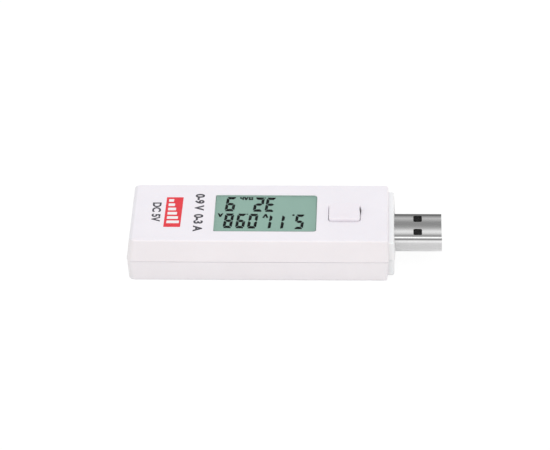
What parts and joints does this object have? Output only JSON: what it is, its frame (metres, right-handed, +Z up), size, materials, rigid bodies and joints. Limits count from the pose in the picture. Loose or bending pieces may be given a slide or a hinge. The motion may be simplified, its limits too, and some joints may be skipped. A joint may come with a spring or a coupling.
{
  "type": "in-line power meter",
  "caption": "Stick-shaped in-line power meter with a male type-A plug at one end, a female type-A socket at the other, a reflective segment display and one push key on top.",
  "frame": {"origin": "on the body's flat underside, on its width's centre line, 33.25 mm from the socket end of the 66.75 mm long body", "axes": "+X along the stick towards the plug, +Y across it away from the side the display's digits are read from upside down, +Z up out of the display face"},
  "size_m": [0.0803, 0.0288, 0.0127],
  "materials": {
    "housing_white": "satin moulded shell, very fine texture",
    "key_white": "satin moulded key",
    "window_clear": "clear polished acrylic",
    "adhesive_dark": "thin black foam tape",
    "display_film": "grey-green reflective display film",
    "display_glass": "thin float glass",
    "display_back_film": "fine-grained reflective film",
    "frame_plastic": "moulded inner frame",
    "elastomer": "striped conductive rubber",
    "board_laminate": "green solder mask over woven glass laminate",
    "chip_black": "black moulding compound",
    "tinned_metal": "tin plated copper alloy",
    "plug_nickel": "nickel plated steel sheet",
    "contact_gold": "gold flashed contact",
    "insulator_black": "glass-filled black polymer",
    "screw_steel": "zinc plated steel",
    "solder": "bright solder",
    "capacitor_ceramic": "tan ceramic",
    "resistor_black": "black glazed ceramic",
    "shunt_body": "black coated alloy",
    "crystal_can": "drawn metal can",
    "switch_steel": "stainless cover",
    "plunger_black": "black moulded plunger"
  },
  "bodies": {
    "housing": {"upper_shell": "housing_white", "lower_shell": "housing_white", "display_window": "window_clear", "window_adhesive": "adhesive_dark", "display_front_polariser": "display_film", "display_front_glass": "display_glass", "display_rear_glass": "display_glass", "display_reflector": "display_back_film", "display_frame": "frame_plastic", "elastomer_strips": "elastomer", "switch_base": "insulator_black", "switch_cover": "switch_steel", "switch_dome": "switch_steel", "switch_terminals": "tinned_metal", "plug_shell": "plug_nickel", "plug_insulator": "insulator_black", "plug_contacts": "contact_gold", "socket_shell": "plug_nickel", "socket_insulator": "insulator_black", "socket_contacts": "contact_gold", "circuit_board": "board_laminate", "board_screws": "screw_steel", "controller_chip": "chip_black", "controller_leads": "tinned_metal", "memory_chip": "chip_black", "sense_amplifier": "chip_black", "voltage_regulator": "chip_black", "small_chip_leads": "tinned_metal", "shunt_resistor": "shunt_body", "shunt_end_caps": "tinned_metal", "timing_crystal": "crystal_can", "crystal_leads": "tinned_metal", "chip_capacitors": "capacitor_ceramic", "chip_resistors": "resistor_black", "chip_end_caps": "tinned_metal", "solder_joints": "solder"},
    "key": {"key_cap": "key_white"},
    "plunger": {"switch_plunger": "plunger_black"}
  },
  "joints": [
    {"name": "key_press", "type": "slide", "parent": "housing", "child": "key", "axis": [0, 0, -1], "range_m": [0, 0.0003], "stiffness_N_per_m": 40, "springref_m": -0.002},
    {"name": "plunger_press", "type": "slide", "parent": "housing", "child": "plunger", "axis": [0, 0, -1], "range_m": [0, 0.0003], "deforming": ["switch_dome"]}
  ],
  "couplings": [
    {"joint": "plunger_press", "follows": "key_press", "ratio": 1}
  ]
}
